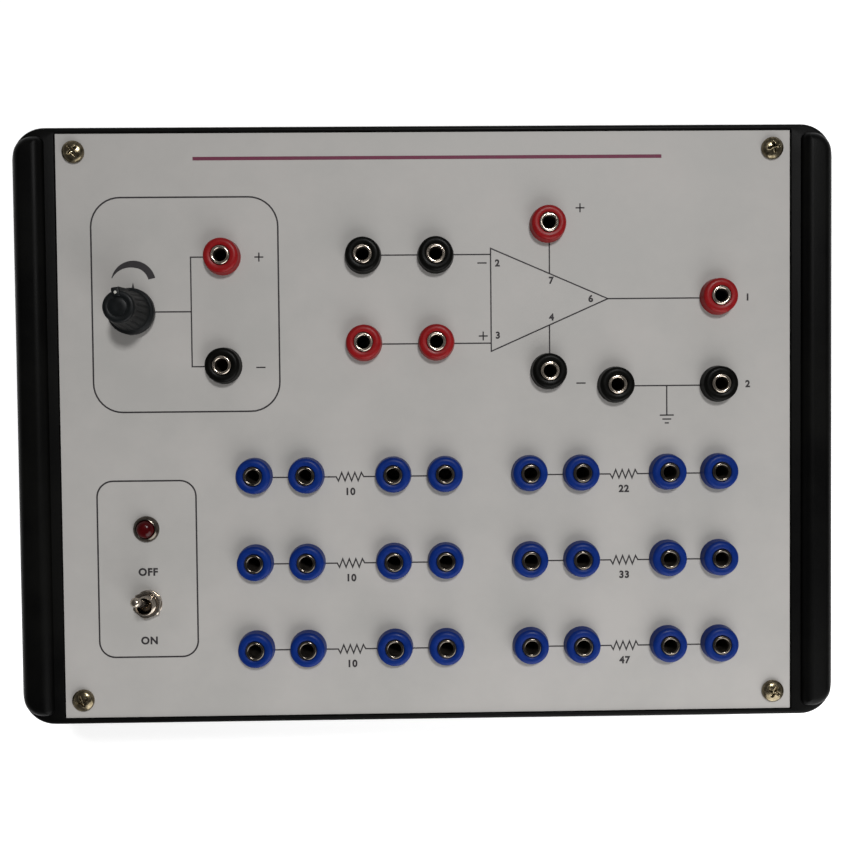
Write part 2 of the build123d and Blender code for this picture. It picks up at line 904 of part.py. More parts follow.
def terminal_block():
    """Row of screw terminals for the wires from the panel, each with its entry in front."""
    half = terminal_depth / 2
    profile = Polyline(
        (half, 0),
        (half, terminal_height),
        (terminal_bevel - half, terminal_height),
        (-half, terminal_height - terminal_bevel),
        (-half, 0),
        close=True,
    )
    strip = extrude(Plane.YZ.offset(-terminal_length / 2) * make_face(profile), terminal_length)
    pitch = terminal_length / terminal_ways
    for number in range(terminal_ways):
        x = (number - (terminal_ways - 1) / 2) * pitch
        entry = Box(terminal_entry, terminal_depth / 2, terminal_entry)
        strip -= Pos(x, -half, terminal_height / 3) * entry
    return on_board(strip, terminal_x, terminal_y)


save(case_base(), "case_base")
save(case_frame(), "case_frame")
save(front_panel(), "front_panel")
save(panel_screws(), "panel_screws")
save(rubber_feet(), "rubber_feet")
save(cord_bush(), "cord_bush")

save(socket_caps(red_places), "red_socket_caps")
save(socket_caps(black_places), "black_socket_caps")
save(socket_caps(blue_places), "blue_socket_caps")
save(socket_barrels(), "socket_barrels")
save(link_wires(), "link_wires")
save(resistors(left_bank), "left_resistors")
save(resistors(right_bank), "right_resistors")

save(control_knob(), "control_knob")
save(knob_dot(), "knob_dot")
save(control_shaft(), "control_shaft")
save(control_body(), "control_body")
save(control_nut(), "control_nut")
save(control_tags(), "control_tags")

save(switch_lever(), "switch_lever")
save(switch_pin(), "switch_pin")
save(switch_neck(), "switch_neck")
save(switch_washer(), "switch_washer")
save(switch_nut(), "switch_nut")
save(switch_body(), "switch_body")
save(switch_tags(), "switch_tags")

save(lamp_bezel(), "lamp_bezel")
save(lamp_lens(), "lamp_lens")
save(lamp_nut(), "lamp_nut")
save(lamp_leads(), "lamp_leads")

save(transformer_core(), "transformer_core")
save(transformer_former(), "transformer_former")
save(transformer_winding(), "transformer_winding")
save(transformer_strap(), "transformer_strap")
save(transformer_bolts(), "transformer_bolts")

save(circuit_board(), "circuit_board")
save(filter_capacitors(), "filter_capacitors")
save(bridge_rectifier(), "bridge_rectifier")
save(voltage_regulators(), "voltage_regulators")
save(heat_sink(), "heat_sink")
save(chip_socket(), "chip_socket")
save(amplifier_chip(), "amplifier_chip")
save(mains_fuse(), "mains_fuse")
save(fuse_clips(), "fuse_clips")
save(terminal_block(), "terminal_block")
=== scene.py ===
"""Looks of a bench trainer for one operational amplifier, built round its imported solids."""
import json
from functools import partial
from math import cos, hypot, pi, radians, sin, sqrt

import bmesh
import bpy
from bpy.props import FloatProperty, FloatVectorProperty, IntProperty, PointerProperty
from mathutils import Matrix, Quaternion, Vector


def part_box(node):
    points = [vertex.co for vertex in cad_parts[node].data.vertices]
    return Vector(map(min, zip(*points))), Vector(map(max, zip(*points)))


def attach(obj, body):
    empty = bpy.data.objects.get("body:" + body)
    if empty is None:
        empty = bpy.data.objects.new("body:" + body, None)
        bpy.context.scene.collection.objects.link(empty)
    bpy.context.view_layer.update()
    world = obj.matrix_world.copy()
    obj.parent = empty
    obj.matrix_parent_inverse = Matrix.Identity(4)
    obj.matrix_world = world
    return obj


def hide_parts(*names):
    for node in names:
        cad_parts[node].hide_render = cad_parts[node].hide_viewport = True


bl_info = {
    "name": "Amplifier Trainer",
    "version": (1, 0, 0),
    "blender": (4, 5, 0),
    "location": "3D View > Sidebar > Trainer",
    "description": "Builds the moulded case, printed panel, sockets and controls of a bench trainer",
    "category": "Add Mesh",
}

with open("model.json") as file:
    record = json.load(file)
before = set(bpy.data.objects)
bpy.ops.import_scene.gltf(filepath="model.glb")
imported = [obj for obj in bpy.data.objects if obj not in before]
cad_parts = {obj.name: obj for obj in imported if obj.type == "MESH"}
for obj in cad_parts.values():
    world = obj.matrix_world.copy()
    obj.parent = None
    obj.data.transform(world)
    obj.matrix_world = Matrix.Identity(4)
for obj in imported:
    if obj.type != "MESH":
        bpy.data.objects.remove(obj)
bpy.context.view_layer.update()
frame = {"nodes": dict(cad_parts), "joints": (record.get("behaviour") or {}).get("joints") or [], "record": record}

MM = 0.001
CASE = "case"
KNOB = "knob"
LEVER = "lever"
PANEL_BACK, PANEL_TOP = (corner.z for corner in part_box("front_panel"))

# Sizes of the case, in metres
LIP_ABOVE_PANEL = 0.5 * MM
CHEEK_INSET = 0.8 * MM
CHEEK_END_INSET = 3.0 * MM
CHEEK_SINK = 0.5 * MM
# Sizes of the screws and the knob, in millimetres
SCREW_HEAD_RADIUS = 3.45
KNOB_HEIGHT = 14.0
POINTER_TOP = 14.4


def linear(hex_colour):
    """Linear values of an sRGB colour written as #rrggbb."""
    parts = [int(hex_colour[start:start + 2], 16) / 255 for start in (1, 3, 5)]
    return tuple(part / 12.92 if part <= 0.04045 else ((part + 0.055) / 1.055) ** 2.4 for part in parts)


def number(name, description, default, **kind):
    return FloatProperty(name=name, description=description, default=default, **kind)


def length(name, description, default):
    return number(name, description, default * MM, unit="LENGTH", precision=5, min=0.0)


def tilt(name, description, degrees):
    return number(name, description, radians(degrees), subtype="ANGLE")


def colour(name, description, default):
    return FloatVectorProperty(
        name=name, description=description, default=linear(default), subtype="COLOR", size=3, min=0.0, max=1.0
    )


# Sizes and colours that a user would change

class TrainerCase(bpy.types.PropertyGroup):
    corner_radius: length("Corner radius", "Radius of the case's upright corners", 10.0)
    edge_radius: length("Edge radius", "Rounding of the rim round the panel", 1.1)
    wall: length("Wall", "Thickness of the moulded walls", 3.0)
    cheek_width: length("Cheek width", "Width of the raised pad on each side", 9.3)
    cheek_crown: length("Cheek crown", "How far the rounding reaches in from a cheek's edge", 3.0)
    plastic: colour("Plastic", "Black of the moulded case", "#030303")
    plastic_worn: colour("Worn plastic", "Lighter black where hands have rubbed the case", "#070706")


class TrainerPrint(bpy.types.PropertyGroup):
    line_width: length("Line width", "Width of the circuit's lines", 0.42)
    border_width: length("Border width", "Width of the lines round the two fields", 0.5)
    figure_height: length("Figure height", "Height of the small figures", 2.1)
    value_height: length("Value height", "Height of the figures under the resistors", 2.2)
    word_height: length("Word height", "Height of the words at the switch", 2.3)
    ink_thickness: length("Ink thickness", "Height of the print above the panel", 0.02)
    sheet: colour("Sheet", "Pale grey of the panel", "#a7a4a1")
    sheet_dull: colour("Dull sheet", "Slightly darker grey in the panel's mottling", "#a09e9b")
    ink: colour("Ink", "Dark grey of the circuit and the figures", "#232022")
    rule: colour("Rule", "Maroon of the rule along the top", "#5c2038")


class TrainerSockets(bpy.types.PropertyGroup):
    cap_radius: length("Cap radius", "Radius of a cap at the panel", 5.72)
    crown_radius: length("Crown radius", "Radius of a cap below its rounded top edge", 5.42)
    cap_height: length("Cap height", "Height of a cap above the panel", 4.0)
    rim_radius: length("Rim radius", "Outer radius of the plated rim", 3.0)
    bore_radius: length("Bore radius", "Radius of the hole for a plug", 2.0)
    red: colour("Red", "Colour of the red caps", "#801114")
    black: colour("Black", "Colour of the black caps", "#060605")
    blue: colour("Blue", "Colour of the blue caps", "#06256a")
    nickel: colour("Nickel", "Colour of the plated metal", "#b8ada0")


class TrainerControls(bpy.types.PropertyGroup):
    flutes: IntProperty(name="Flutes", description="Grooves round the knob", default=18, min=3)
    flute_depth: length("Flute depth", "Depth of the knob's grooves", 0.42)
    pointer_turn: tilt("Pointer turn", "Turn of the knob from its mark at rest", 8.0)
    lever_tilt: tilt("Lever tilt", "Lean of the lever at rest", 15.0)
    thread_pitch: length("Thread pitch", "Pitch of the thread on the switch's neck", 0.55)
    knob_black: colour("Knob black", "Colour of the knob", "#07090a")
    lens_red: colour("Lens red", "Colour of the unlit lamp", "#400205")


class TrainerStage(bpy.types.PropertyGroup):
    key_power: number("Key light", "Power of the soft light in watts", 81.0)
    fill_power: number("Fill light", "Power of the fill light in watts", 2.4)
    floor_white: number("Floor white", "White added to what the camera sees", 0.5)
    focal_pixels: number("Focal length", "In pixels of the picture", 936.3)


SETTINGS = {
    "trainer_case": TrainerCase,
    "trainer_print": TrainerPrint,
    "trainer_sockets": TrainerSockets,
    "trainer_controls": TrainerControls,
    "trainer_stage": TrainerStage,
}


# Materials

def add(tree, kind, settings=None, links=None):
    """Adds a node, sets its inputs and properties, and joins its inputs to other nodes' outputs."""
    new = tree.nodes.new(kind)
    for name, value in (settings or {}).items():
        if isinstance(name, int) or name in new.inputs:
            new.inputs[name].default_value = value
        else:
            setattr(new, name, value)
    for name, output in (links or {}).items():
        tree.links.new(output, new.inputs[name])
    return new


def graded(tree, value, stops):
    """Colours over a value from 0 to 1, through stops of a position and a linear colour."""
    ramp = add(tree, "ShaderNodeValToRGB", links={"Fac": value})
    for position, _ in stops[1:-1]:
        ramp.color_ramp.elements.new(position)
    for element, (position, tint) in zip(ramp.color_ramp.elements, stops):
        element.position = position
        element.color = (*tint, 1.0)
    return ramp.outputs["Color"]


def finish(name, dark, light, roughness, grain, relief, patch, metallic=0.0, ior=1.5, stretch=None, uneven=0.06,
           specular=0.5):
    """Material with mottled colour, uneven gloss and fine relief; grain, relief and patch are in millimetres."""
    dark, light = (linear(value) if isinstance(value, str) else value for value in (dark, light))
    material = bpy.data.materials.new(name)
    material.use_nodes = True
    tree = material.node_tree
    shader = tree.nodes["Principled BSDF"]
    shader.inputs["Metallic"].default_value = metallic
    if not metallic:
        shader.inputs["IOR"].default_value = ior
    shader.inputs["Specular IOR Level"].default_value = specular
    place = add(tree, "ShaderNodeTexCoord").outputs["Object"]
    if stretch:
        place = add(tree, "ShaderNodeMapping", {"Scale": stretch}, {"Vector": place}).outputs["Vector"]
    clouds = add(tree, "ShaderNodeTexNoise", {"Scale": 1 / (patch * MM), "Detail": 5.0, "Roughness": 0.6},
                 {"Vector": place})
    mottle = graded(tree, clouds.outputs["Fac"], ((0.36, dark), (0.64, light)))
    tree.links.new(mottle, shader.inputs["Base Color"])
    fine = add(tree, "ShaderNodeTexNoise", {"Scale": 1 / (grain * MM), "Detail": 2.0}, {"Vector": place})
    gloss = add(tree, "ShaderNodeMapRange",
                {"From Min": 0.3, "From Max": 0.7, "To Min": roughness - uneven, "To Max": roughness + uneven},
                {"Value": clouds.outputs["Fac"]})
    tree.links.new(gloss.outputs["Result"], shader.inputs["Roughness"])
    bump = add(tree, "ShaderNodeBump", {"Distance": relief * MM, "Strength": 1.0}, {"Height": fine.outputs["Fac"]})
    tree.links.new(bump.outputs["Normal"], shader.inputs["Normal"])
    return material


def shade(value, share):
    """A colour made darker or lighter by one share."""
    return tuple(min(1.0, part * share) for part in value)


def make_materials(scene):
    """Every finish of the object, each under the name of its record slot or of its own surface."""
    case = scene.trainer_case
    prints = scene.trainer_print
    sockets = scene.trainer_sockets
    controls = scene.trainer_controls
    nickel = sockets.nickel
    screen_ink = partial(finish, roughness=0.6, grain=0.25, relief=0.004, patch=1.6, specular=0.3)
    nylon = partial(finish, roughness=0.36, grain=0.5, relief=0.012, patch=3.0)
    metal = partial(finish, metallic=1.0)
    return {
        # ABS from a spark-eroded mould: an even black with a fine grain that scatters the light softly
        "case_plastic": finish("moulded_abs_black", case.plastic, case.plastic_worn, 0.45, 0.45, 0.03, 26.0,
                               specular=0.06),
        # Melamine laminate with a satin face: pale, slightly cloudy, with a broad soft sheen
        "panel_laminate": finish("satin_laminate_grey", prints.sheet_dull, prints.sheet, 0.5, 0.7, 0.006, 34.0,
                                 specular=0.22),
        # Screen-printed ink: dark grey, a little thin in places so the sheet shows through
        "ink": screen_ink("screen_ink_dark", prints.ink, shade(prints.ink, 1.35)),
        "rule_ink": screen_ink("screen_ink_maroon", prints.rule, shade(prints.rule, 1.2)),
        # Injection-moulded nylon caps: saturated colour under a soft gloss, with faint handling marks
        "red_cap": nylon("moulded_nylon_red", shade(sockets.red, 0.86), sockets.red, specular=0.15),
        "black_cap": nylon("moulded_nylon_black", sockets.black, shade(sockets.black, 1.5), specular=0.06),
        "blue_cap": nylon("moulded_nylon_blue", shade(sockets.blue, 0.84), sockets.blue, specular=0.11),
        # Bright nickel plate over turned brass: mirror-like, with warm patches where it has dulled
        "nickel": metal("nickel_plate_bright", shade(nickel, 0.78), nickel, 0.2, 0.3, 0.003, 2.2),
        # Darker copy of the plate in the blue caps and on the bezel, painted shade for their dark reflections;
        # highlights still sharp
        "painted_dark_nickel": metal("nickel_plate_painted_dark", shade(nickel, 0.17), shade(nickel, 0.27), 0.2, 0.3, 0.003, 2.2),
        # The same plate deep in a bore, rougher and darkened as painted shade of the depth: it gives back little
        # light
        "bore": metal("nickel_plate_bore_painted_shade", shade(nickel, 0.12), shade(nickel, 0.25), 0.6, 0.3, 0.004, 1.5),
        # Yellow-passivated zinc on the screws: an olive gold, lighter where the driver has rubbed it
        "yellow_zinc": metal("zinc_plate_yellow", "#544c3a", "#8a7f68", 0.24, 0.3, 0.01, 1.6),
        # Zinc-plated mild steel: grey metal with a drawn grain along one way
        "steel": metal("zinc_plated_steel", "#8e9092", "#a3a5a6", 0.38, 0.25, 0.004, 2.0, stretch=(1.0, 1.0, 0.15)),
        # Satin ABS knob: black with the dull bloom of fingers
        "knob_plastic": finish("moulded_abs_knob", controls.knob_black, shade(controls.knob_black, 1.7), 0.44, 0.35,
                               0.015, 4.0, specular=0.16),
        # White paint pressed into the pointer's recess: matt and slightly uneven
        "white_inlay": finish("paint_inlay_white", "#9a9892", "#b8b6af", 0.5, 0.2, 0.01, 0.8),
        # Tinted acrylic dome, unlit: deep red with a sharp highlight
        "red_lens": finish("tinted_acrylic_red", shade(controls.lens_red, 0.6), controls.lens_red, 0.2, 0.6, 0.004,
                           2.0, ior=1.49, uneven=0.04, specular=0.2),
        # Moulded rubber: dead black with a powdery matt face
        "foot_rubber": finish("moulded_rubber_black", "#161616", "#222221", 0.82, 0.4, 0.03, 5.0),
        # Tinned copper wire and tags: pale metal, slightly greyed
        "tinned_copper": metal("tinned_copper", "#a9a8a4", "#c6c5c1", 0.34, 0.2, 0.004, 1.5),
        # Resistor lacquer: beige, glossy from dipping
        "resistor_coat": finish("dipped_lacquer_beige", "#b79a6f", "#c7ab80", 0.32, 0.4, 0.01, 2.0),
        # Glass-epoxy board under green lacquer: the weave shows as a faint mottling
        "board_laminate": finish("lacquered_board_green", "#1d5a2c", "#2a6b37", 0.36, 0.6, 0.01, 2.4),
        # Moulded epoxy of chips and power parts: matt black
        "part_plastic": finish("moulded_epoxy_black", "#1a1a1b", "#262627", 0.55, 0.25, 0.01, 2.0),
        # Shrunk vinyl sleeve on the capacitors: dark blue, tight and glossy
        "can_sleeve": finish("shrunk_vinyl_blue", "#1c2a4d", "#24345c", 0.3, 0.6, 0.008, 4.0),
        # Extruded aluminium, left bare: light grey with drawn lines
        "aluminium": metal("extruded_aluminium", "#a2a4a5", "#b4b6b7", 0.4, 0.3, 0.005, 1.6,
                           stretch=(1.0, 1.0, 0.12)),
        # Varnished iron laminations: dark grey with the fine lines of the stacked sheets
        "laminated_iron": finish("varnished_laminations", "#2b2b2d", "#47474a", 0.45, 0.5, 0.05, 0.9,
                                 metallic=0.6, stretch=(0.05, 1.0, 0.05)),
        # Yellow polyester tape round the winding: smooth, with soft overlaps
        "winding_tape": finish("polyester_tape_yellow", "#b98f1d", "#cfa62e", 0.3, 1.2, 0.03, 3.0),
        # Nylon former: natural white, waxy
        "former_plastic": finish("moulded_nylon_natural", "#b9b4a4", "#c9c5b6", 0.42, 0.5, 0.01, 3.0),
        # Glass tube of the fuse: clear with a greenish tint
        "fuse_glass": finish("drawn_glass_tube", "#a9b4b0", "#b9c4c0", 0.08, 0.8, 0.002, 4.0, uneven=0.02),
        # Polyamide terminal strip: green, satin
        "terminal_plastic": finish("moulded_polyamide_green", "#1d6b3c", "#257a47", 0.4, 0.4, 0.01, 3.0),
    }


MATERIALS = {}


def material_of(slot):
    """The finish of a slot, made once for the whole object."""
    if not MATERIALS:
        MATERIALS.update(make_materials(bpy.context.scene))
    return MATERIALS[slot]


# Meshes

def mended(mesh, weld=0.0):
    """The mesh with points nearer than the weld joined, and all its faces turned outwards."""
    work = bmesh.new()
    work.from_mesh(mesh)
    if weld:
        bmesh.ops.remove_doubles(work, verts=work.verts, dist=weld)
    bmesh.ops.recalc_face_normals(work, faces=work.faces)
    work.to_mesh(mesh)
    work.free()
    return mesh


def loft(rings, closed=False):
    """Mesh through rings of as many points each; its ends are capped unless the rings close on themselves."""
    count = len(rings[0])
    points = [point for one in rings for point in one]
    faces = []
    for row in range(len(rings) if closed else len(rings) - 1):
        low = row * count
        high = (row + 1) % len(rings) * count
        for step in range(count):
            ahead = (step + 1) % count
            faces.append((low + step, low + ahead, high + ahead, high + step))
    if not closed:
        faces.append(tuple(range(count)))
        faces.append(tuple(range(len(points) - count, len(points))))
    mesh = bpy.data.meshes.new("loft")
    mesh.from_pydata(points, [], faces)
    return mended(mesh)


def merge(meshes, places=None):
    """One mesh of several, each moved to its own place if there are places."""
    work = bmesh.new()
    for mesh, place in zip(meshes, places or [Matrix()] * len(meshes)):
        copy = mesh.copy()
        copy.transform(place)
        work.from_mesh(copy)
        bpy.data.meshes.remove(copy)
    merged = bpy.data.meshes.new("merged")
    work.to_mesh(merged)
    work.free()
    return merged


def at(x, y, z=PANEL_TOP, turn=0.0):
    """Place on the panel, in metres, with a turn about the upright axis."""
    return Matrix.Translation((x, y, z)) @ Matrix.Rotation(turn, 4, "Z")


def arc(count, span=pi / 2):
    """Angles in even steps from nothing to the whole span."""
    return [span * step / (count - 1) for step in range(count)]


def shares(count):
    """Even steps from nothing to one."""
    return [step / (count - 1) for step in range(count)]


def ring(reach, height, count=64):
    """Ring of points in metres; the radius at an angle and the height are in millimetres."""
    points = []
    for step in range(count):
        angle = 2 * pi * step / count
        radius = reach(angle) * MM
        points.append((radius * cos(angle), radius * sin(angle), height * MM))
    return points


def circle(radius, height, count=64):
    """Round ring in metres, from a radius and a height in millimetres."""
    return ring(lambda angle: radius, height, count)


def turned(profile, closed=False, count=64):
    """Solid of revolution about Z, from pairs of radius and height in millimetres."""
    return loft([circle(radius, height, count) for radius, height in profile], closed)


def rounded(corners, height, steps=12):
    """Ring of arcs round four corners, each given by its centre and radius, in metres."""
    points = []
    for quarter, (x, y, radius) in enumerate(corners):
        for share in shares(steps + 1):
            angle = pi / 2 * (quarter + share)
            points.append((x + radius * cos(angle), y + radius * sin(angle), height))
    return points


def oblong(half_x, half_y, radius, height, steps=12, middle=(0.0, 0.0)):
    """Ring of a rectangle with rounded corners, in metres."""
    x, y = half_x - radius, half_y - radius
    points = rounded(((x, y, radius), (-x, y, radius), (-x, -y, radius), (x, -y, radius)), height, steps)
    return [(middle[0] + x, middle[1] + y, height) for x, y, _ in points]


def linked(name, data):
    """Object of a mesh, text, lamp or camera in the scene."""
    made = bpy.data.objects.new(name, data)
    bpy.context.scene.collection.objects.link(made)
    return made


def piece(name, mesh, slots, nodes=(), body=CASE, smooth=35.0, place=None):
    """Puts a mesh into the scene as a named piece that moves with a body and stands for CAD nodes."""
    if place:
        mesh.transform(place)
    mesh.name = name
    mesh.shade_smooth()
    mesh.set_sharp_from_angle(angle=radians(smooth))
    mesh.materials.clear()
    for one in slots:
        mesh.materials.append(material_of(one))
    made = linked(name, mesh)
    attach(made, body)
    if nodes:
        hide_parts(*nodes)
    return made


def mount_places(start):
    """Centres of the sockets whose mounts' names start with a word, or with one of several."""
    mounts = frame["record"]["mounts"]
    found = [mount for mount in mounts if mount["kind"] == "bore" and mount["name"].startswith(start)]
    return [Vector(mount["pos_m"][:2]) for mount in found]


# Places of the print on the panel, in millimetres from its middle
AMPLIFIER = ((20.3, 54.9), (20.3, 22.8), (57.0, 38.95))
PLUS_SIGNS = ((-51.9, 52.7), (17.8, 27.6), (48.4, 67.3))
MINUS_SIGNS = ((-51.75, 18.4), (17.6, 50.35), (48.4, 12.6))
# The two bordered fields: left, right, bottom and top edge, and the corners' radius
FIELDS = ((-103.8, -45.9, 4.75, 71.35, 9.1), (-103.4, -72.6, -72.05, -16.7, 5.0))

RED_NAMES = ("supply_plus", "plain_input", "rail_plus", "output")
BLACK_NAMES = ("supply_minus", "inverting_input", "rail_minus", "ground")
BLUE_NAMES = ("left_bank", "right_bank")
ALL_NAMES = RED_NAMES + BLACK_NAMES + BLUE_NAMES


def across(start, end, y):
    """Level line between two places along X."""
    return [(start, y), (end, y)]


def joint_place(name):
    return Vector(next(joint["pos_m"] for joint in frame["joints"] if joint["name"] == name))


# Pieces

class TRAINER_OT_inner_parts(bpy.types.Operator):
    """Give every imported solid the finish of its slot"""
    bl_idname = "trainer.inner_parts"
    bl_label = "Finish the packed solids"

    def execute(self, context):
        slots = {part["node"]: part["material_slot"] for part in frame["record"]["subparts"]}
        for name, node in frame["nodes"].items():
            node.data.materials.clear()
            node.data.materials.append(material_of(slots[name]))
        return {"FINISHED"}


def cheek_mesh(case, outside, half_length, lip, rise, side):
    """Crowned pad sunk a little into the rim; its outer corners follow the case's own."""
    rings = [cheek_ring(case, outside, half_length, 0.0, lip - CHEEK_SINK, side)]
    for angle in arc(10):
        inset = case.cheek_crown * (1 - cos(angle))
        rings.append(cheek_ring(case, outside, half_length, inset, lip + rise * sin(angle), side))
    return loft(rings)


def cheek_ring(case, outside, half_length, inset, height, side):
    """Ring of a cheek's plan: wide corners outside and tight ones towards the panel."""
    wide_share, tight_share, least = 0.66, 0.22, 0.1 * MM
    wide = wide_share * case.cheek_width - inset
    tight = max(least, tight_share * case.cheek_width - inset)
    inner = outside - case.cheek_width + inset
    corners = (
        (outside - inset - wide, half_length - inset - wide, wide),
        (inner + tight, half_length - inset - tight, tight),
        (inner + tight, inset + tight - half_length, tight),
        (outside - inset - wide, inset + wide - half_length, wide),
    )
    return [(side * x, y, height) for x, y, _ in rounded(corners, height)]


class TRAINER_OT_case(bpy.types.Operator):
    """Mould the frame round the panel with its two cheeks"""
    bl_idname = "trainer.case"
    bl_label = "Case frame and cheeks"

    def execute(self, context):
        case = context.scene.trainer_case
        low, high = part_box("case_frame")
        panel_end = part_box("front_panel")[1]
        half = ((high - low) / 2).xy
        panel_gap = 0.3 * MM
        pocket = Vector((panel_end.x + panel_gap, panel_end.y + panel_gap))
        pocket_corner = 0.8 * MM
        lip = PANEL_TOP + LIP_ABOVE_PANEL
        seam_bevel = 0.35 * MM

        def outer(inset, height):
            return oblong(half.x - inset, half.y - inset, case.corner_radius - inset, height)

        rings = [outer(seam_bevel, low.z), outer(0.0, low.z + seam_bevel)]
        for angle in arc(7):
            inset = case.edge_radius * (1 - cos(angle))
            rings.append(outer(inset, lip - case.edge_radius * (1 - sin(angle))))
        ledge = 6.0 * MM
        deck = PANEL_BACK - case.wall
        steps = ((-0.3 * MM, lip), (-0.1 * MM, lip - 0.08 * MM), (0.0, lip - 0.3 * MM), (0.0, PANEL_BACK),
                 (ledge, PANEL_BACK), (ledge, deck))
        rings += [oblong(pocket.x - inset, pocket.y - inset, pocket_corner, height) for inset, height in steps]
        rings += [outer(case.wall, deck), outer(case.wall, low.z)]
        parts = [loft(rings, closed=True)]
        outside, end = half.x - CHEEK_INSET, half.y - CHEEK_END_INSET
        parts += [cheek_mesh(case, outside, end, lip, high.z - lip, side) for side in (-1, 1)]
        piece("case_frame_moulding", merge(parts), ["case_plastic"], ["case_frame"], smooth=30.0)
        return {"FINISHED"}


def recess_depth(x, y):
    """Depth of the cross at a point of the head, in millimetres: four tapered arms with sloping walls."""
    reach = hypot(x, y)
    half_arm = 0.62 - 0.1 * reach
    arm_end, slope = 2.0, 0.3
    wall = min(1.0, max(half_arm - min(abs(x), abs(y)), 0.0) / slope)
    end = min(1.0, max(0.0, (arm_end - reach) / slope))
    return wall * end * (1.15 - 0.35 * reach)


class TRAINER_OT_screws(bpy.types.Operator):
    """Drive four cross-recessed screws through the panel's corners"""
    bl_idname = "trainer.screws"
    bl_label = "Panel screws"

    def execute(self, context):
        low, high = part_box("panel_screws")
        tip = (low.z - PANEL_TOP) / MM
        count = 120
        shank = 1.7
        crown_radius, crown_foot, crown_rise = 3.44, 0.6, 1.4
        profile = ((1.0, tip), (shank, tip + 0.8), (shank, -0.01), (3.38, 0.0), (SCREW_HEAD_RADIUS, 0.2),
                   (crown_radius, crown_foot))
        rings = [circle(radius, height, count) for radius, height in profile]
        for step in range(34):
            radius = 3.4 - 0.1 * step
            height = crown_foot + crown_rise * sqrt(1 - (radius / crown_radius) ** 2)
            rings.append([(x, y, z - recess_depth(x / MM, y / MM) * MM) for x, y, z in circle(radius, height, count)])
        screw = loft(rings)
        inset = SCREW_HEAD_RADIUS * MM
        turns = (0.35, 1.1, 0.2, 0.75)
        places = [(low.x + inset, low.y + inset), (high.x - inset, low.y + inset),
                  (high.x - inset, high.y - inset), (low.x + inset, high.y - inset)]
        screws = merge([screw] * len(turns), [at(*place, turn=turn) for place, turn in zip(places, turns)])
        piece("cross_head_screws", screws, ["yellow_zinc"], ["panel_screws"], smooth=50.0)
        return {"FINISHED"}


def ribbon(edges, closed=False):
    """Ink between the two edges of a line, given as pairs of points in metres, through the panel's face."""
    thickness = bpy.context.scene.trainer_print.ink_thickness
    low, high = PANEL_TOP - thickness, PANEL_TOP + thickness
    return loft([[(left.x, left.y, low), (right.x, right.y, low), (right.x, right.y, high),
                  (left.x, left.y, high)] for left, right in edges], closed)


def stroke(points, width, closed=False):
    """Flat line of ink along points of the panel, in millimetres, with mitred corners."""
    edges = []
    sharpest = 0.3
    count = len(points)
    for here, point in enumerate(points):
        before = Vector(points[here - 1]) if closed or here else None
        after = Vector(points[(here + 1) % count]) if closed or here + 1 < count else None
        point = Vector(point)
        ways = [(point - before).normalized()] if before else []
        ways += [(after - point).normalized()] if after else []
        way = sum(ways, Vector((0.0, 0.0))).normalized()
        side = Vector((-way.y, way.x)) * width / 2 / max(sharpest, way.dot(ways[0]))
        edges.append(((point + side) * MM, (point - side) * MM))
    return ribbon(edges, closed)


def circuit_lines():
    """Lines of the amplifier, its supply and the ground, ending under the caps."""
    hide = under_cap()
    inputs = [f"{kind}_input_{side}" for kind in ("inverting", "plain") for side in ("outer", "inner")]
    top, top_inner, low, low_inner = map(socket_spot, inputs)
    plus, minus, output = map(socket_spot, ("rail_plus", "rail_minus", "output"))
    ground, ground_end = map(socket_spot, ("ground_left", "ground_right"))
    supply, supply_low = map(socket_spot, ("supply_plus", "supply_minus"))
    knob = joint_place("knob_turn") / MM
    back = AMPLIFIER[0][0]
    apex_x, apex_y = AMPLIFIER[2]
    upper, lower = 53.0, 25.35
    rail_x, rail_end = plus.x + 0.5, 47.0
    drop_x, drop_start = minus.x + 0.4, 30.9
    bus, bus_top, bus_end = -73.1, 52.8, 18.8
    stem, earth = 75.4, ground.y - 0.4
    bars = ((2.2, 2.3), (1.4, 1.05), (0.65, -0.15))
    lines = [
        across(top.x + hide, top_inner.x - hide, upper),
        across(top_inner.x + hide, back, upper),
        across(low.x + hide, low_inner.x - hide, lower),
        across(low_inner.x + hide, back, lower),
        across(apex_x, output.x - hide, apex_y),
        [(rail_x, plus.y - hide), (rail_x, rail_end)],
        [(drop_x, drop_start), (drop_x, minus.y + hide)],
        across(ground.x + hide, ground_end.x - hide, earth),
        [(supply.x - hide, bus_top), (bus, bus_top), (bus, bus_end), (supply_low.x - hide, bus_end)],
        across(knob.x + hide, bus, knob.y),
        [(stem, earth), (stem, bars[0][1])],
    ]
    lines += [across(stem - half, stem + half, y) for half, y in bars]
    plus_arm, minus_arm = 1.4, 1.45
    for x, y in PLUS_SIGNS:
        lines += [across(x - plus_arm, x + plus_arm, y), [(x, y - plus_arm), (x, y + plus_arm)]]
    lines += [across(x - minus_arm, x + minus_arm, y) for x, y in MINUS_SIGNS]
    return lines


def socket_spot(name):
    """Centre of a socket on the panel, in millimetres."""
    return mount_places(name)[0] / MM


def under_cap():
    """How far from a socket's centre its line ends, hidden by the cap."""
    overlap = 1.1
    return bpy.context.scene.trainer_sockets.cap_radius / MM - overlap


def bank_grid(start):
    """A blue bank's rows from the front, its columns, and the middle of its resistors, in millimetres."""
    places = mount_places(start)
    columns, rows = (sorted({round(place[axis] / MM, 3) for place in places}) for axis in (0, 1))
    return rows, columns, (columns[1] + columns[2]) / 2


